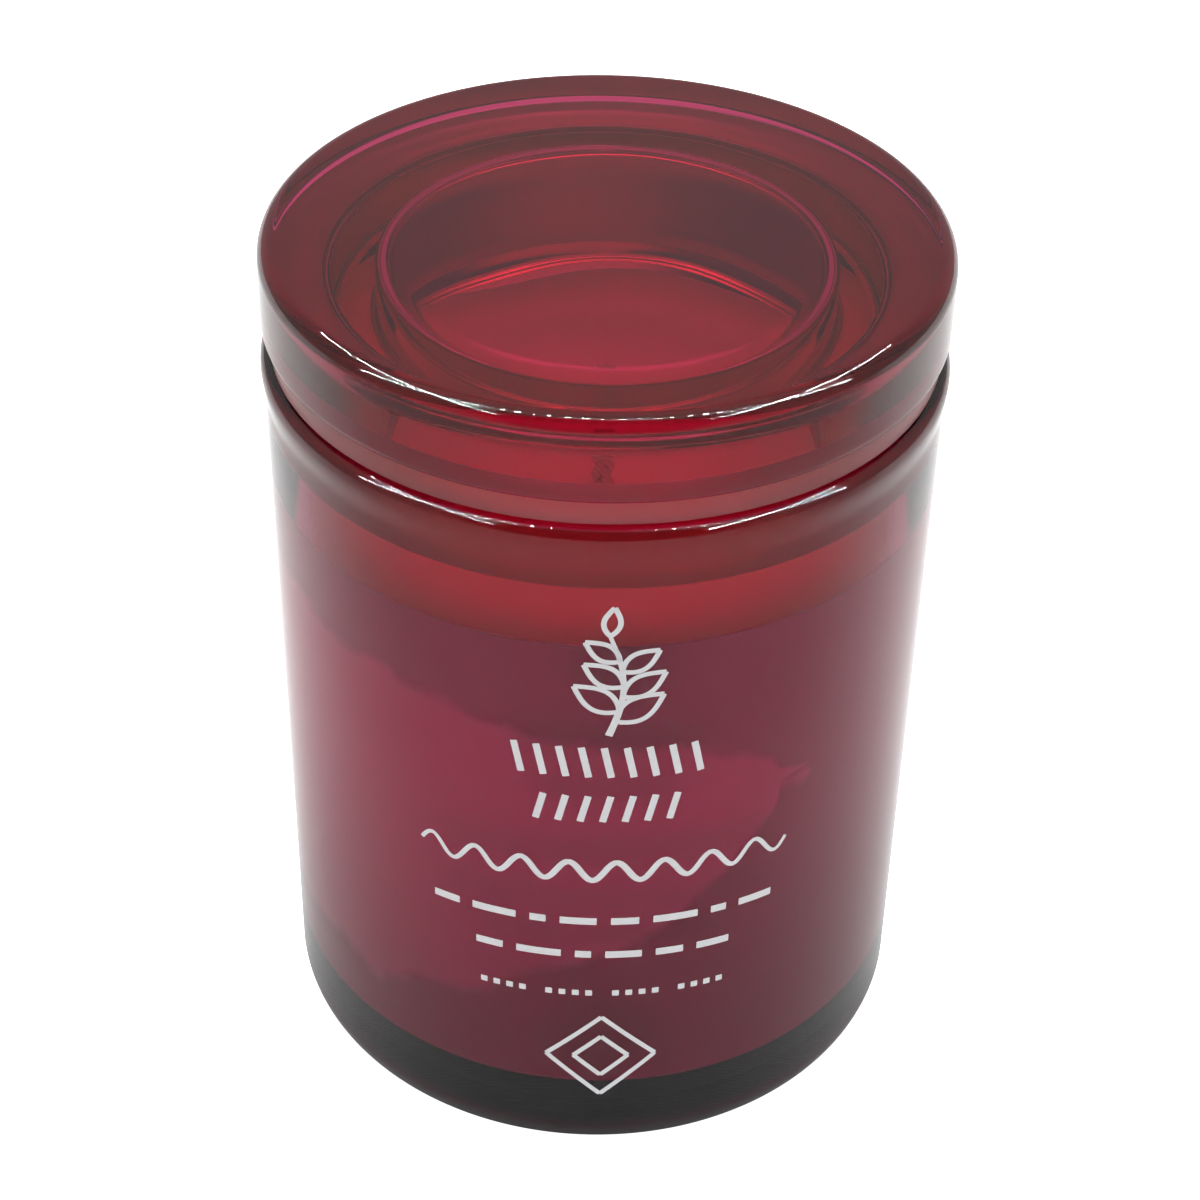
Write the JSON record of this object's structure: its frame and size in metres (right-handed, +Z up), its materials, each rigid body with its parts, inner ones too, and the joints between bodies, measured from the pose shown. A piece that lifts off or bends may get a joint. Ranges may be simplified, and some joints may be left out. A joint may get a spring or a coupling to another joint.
{
  "type": "lidded glass candle jar",
  "caption": "Round red glass jar filled with wax around a wick, closed by a thick glass lid that sits on a silicone gasket.",
  "frame": {"origin": "centre of the jar's foot, on the surface it stands on", "axes": "+Z up along the jar's axis, and the printed side faces -Y"},
  "size_m": [0.0624, 0.0624, 0.086],
  "materials": {
    "jar_glass": "clear red glass, fire polished",
    "lid_glass": "clear red glass, pressed and fire polished",
    "gasket": "translucent silicone, satin",
    "wax": "pale candle wax, satin",
    "wick": "waxed braided cotton",
    "print": "white screen print"
  },
  "bodies": {
    "root": {"jar": "jar_glass", "lid": "lid_glass", "gasket": "gasket", "wax": "wax", "wick": "wick"}
  },
  "joints": []
}
